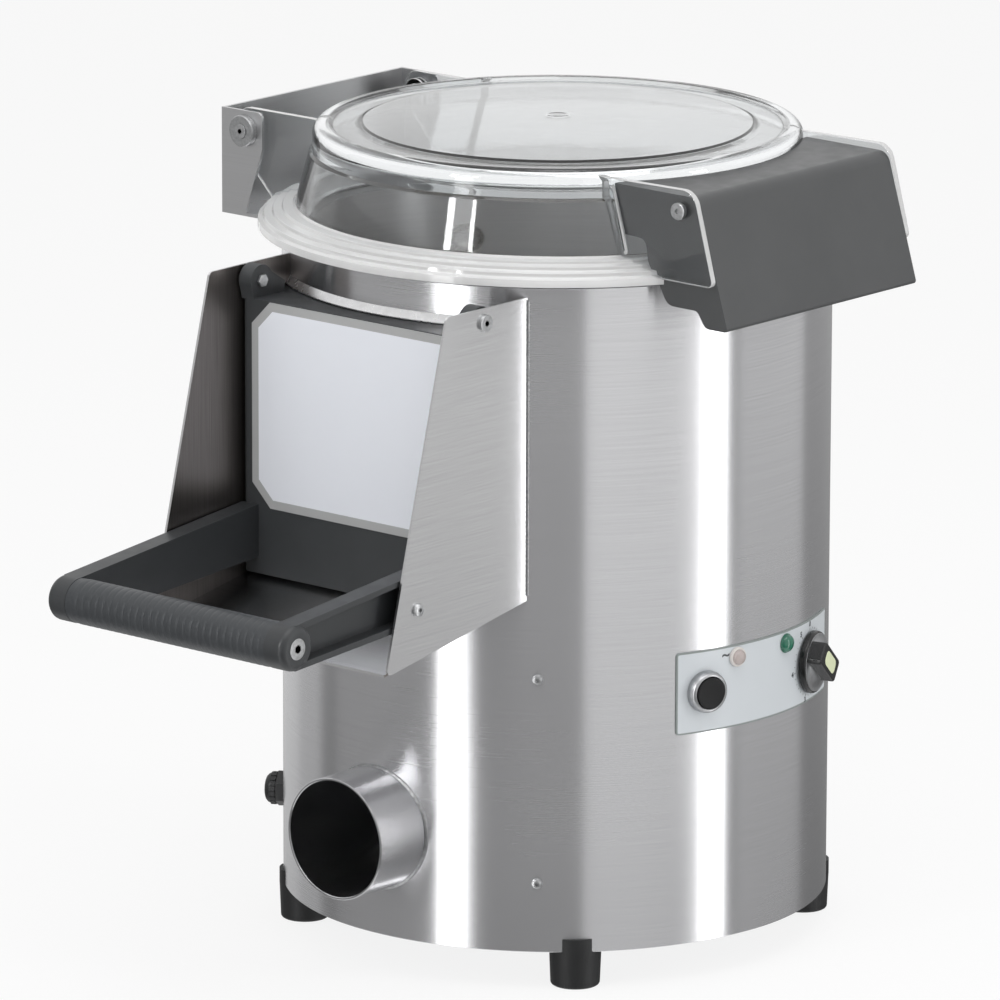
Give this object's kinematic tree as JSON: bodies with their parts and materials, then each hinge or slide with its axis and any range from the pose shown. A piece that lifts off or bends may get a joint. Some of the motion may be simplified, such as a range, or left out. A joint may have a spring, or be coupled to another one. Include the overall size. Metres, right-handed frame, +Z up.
{
  "type": "electric potato peeler",
  "caption": "Table-top electric potato peeler: steel drum on rubber feet, clear hinged lid, side chute with a lift-up door, drain pipe, timer knob and start button.",
  "frame": {"origin": "on the drum's axis, level with the undersides of the four feet", "axes": "+Z up along the drum's axis; -X towards the discharge chute and the drain pipe; -Y towards the operator, with the controls and the lid's handle; +Y towards the lid's hinge"},
  "size_m": [0.5192, 0.3928, 0.4861],
  "materials": {
    "brushed_stainless": "horizontally brushed sheet",
    "satin_stainless": "satin sheet",
    "drain_stainless": "satin tube",
    "bracket_steel": "satin sheet, darker",
    "bright_screw": "bright screws",
    "bush_steel": "turned bushes",
    "abrasive": "grit bonded in resin",
    "clear_polycarbonate": "clear, glossy moulding",
    "charcoal_plastic": "finely textured moulding",
    "handle_plastic": "satin moulding",
    "grip_plastic": "ribbed moulding",
    "label_film": "pale printed film with a grey border",
    "control_film": "silver printed film",
    "black_rubber": "moulded rubber",
    "foot_rubber": "moulded rubber",
    "bright_chrome": "polished ring",
    "button_black": "moulded cap",
    "knob_black": "moulded knob with a pale inlay",
    "lamp_white": "clear lens",
    "lamp_green": "green lens",
    "electrical_plastic": "ivory mouldings",
    "cast_aluminium": "sand cast",
    "motor_paint": "grey paint",
    "machined_steel": "turned steel",
    "galvanised_steel": "zinc coated sheet",
    "nickel_brass": "turned brass",
    "gland_plastic": "moulded nylon"
  },
  "bodies": {
    "machine": {"casing": "brushed_stainless", "lid_seal": "black_rubber", "chamber_liner": "abrasive", "sump_pan": "satin_stainless", "drain_riser": "drain_stainless", "drain_elbow": "drain_stainless", "drain_pipe": "drain_stainless", "discharge_chute": "satin_stainless", "chute_stop_screws": "bright_screw", "hinge_bracket": "bracket_steel", "hinge_bushes": "bush_steel", "hinge_screws": "bright_screw", "door_pivot_screws": "bright_screw", "casing_screws": "bright_screw", "base_plate": "galvanised_steel", "foot_front_left": "foot_rubber", "foot_front_right": "foot_rubber", "foot_rear_right": "foot_rubber", "foot_rear_left": "foot_rubber", "foot_screws": "machined_steel", "frame_post_front": "galvanised_steel", "frame_post_right": "galvanised_steel", "frame_post_rear": "galvanised_steel", "motor_plate": "galvanised_steel", "motor_housing": "motor_paint", "motor_fan_cover": "motor_paint", "motor_bolts": "machined_steel", "bearing_housing": "cast_aluminium", "upper_bearing": "machined_steel", "lower_bearing": "machined_steel", "shaft_seal": "black_rubber", "drive_belt": "black_rubber", "control_plate": "control_film", "start_button_bezel": "bright_chrome", "start_switch": "electrical_plastic", "mains_lamp": "lamp_white", "run_lamp": "lamp_green", "timer_body": "electrical_plastic", "contactor": "electrical_plastic", "run_capacitor": "electrical_plastic", "water_inlet": "nickel_brass", "cable_gland": "gland_plastic"},
    "spindle": {"spindle_shaft": "machined_steel", "abrasive_plate": "abrasive", "plate_lock_knob": "charcoal_plastic", "driven_pulley": "cast_aluminium"},
    "motor_rotor": {"motor_shaft": "machined_steel", "motor_pulley": "cast_aluminium"},
    "lid": {"lid": "clear_polycarbonate", "lid_handle": "handle_plastic", "lid_handle_screws": "bright_screw"},
    "door": {"door_panel": "charcoal_plastic", "door_arm_left": "charcoal_plastic", "door_arm_right": "charcoal_plastic", "grip_bar": "grip_plastic", "grip_screws": "bright_screw", "door_label": "label_film"},
    "timer_knob": {"timer_knob": "knob_black"},
    "start_button": {"start_button": "button_black"}
  },
  "joints": [
    {"name": "spindle_spin", "type": "hinge", "parent": "machine", "child": "spindle", "pos_m": [0, 0, 0.1225], "axis": [0, 0, 1], "continuous": true},
    {"name": "motor_spin", "type": "hinge", "parent": "machine", "child": "motor_rotor", "pos_m": [0.098, 0, 0.0825], "axis": [0, 0, 1], "continuous": true},
    {"name": "lid_hinge", "type": "hinge", "parent": "machine", "child": "lid", "pos_m": [0, 0.174, 0.4655], "axis": [-1, 0, 0], "range_deg": [0, 95]},
    {"name": "door_hinge", "type": "hinge", "parent": "machine", "child": "door", "pos_m": [-0.1714, 0, 0.4035], "axis": [0, 1, 0], "range_deg": [0, 60]},
    {"name": "timer_turn", "type": "hinge", "parent": "machine", "child": "timer_knob", "pos_m": [0.04857, -0.16292, 0.1727], "axis": [-0.2857, 0.9583, 0], "range_deg": [0, 300]},
    {"name": "start_press", "type": "slide", "parent": "machine", "child": "start_button", "axis": [0.299, 0.9542, 0], "range_m": [0, 0.003], "stiffness_N_per_m": 400, "springref_m": -0.001}
  ],
  "couplings": [
    {"joint": "motor_spin", "follows": "spindle_spin", "ratio": 3.1818}
  ]
}
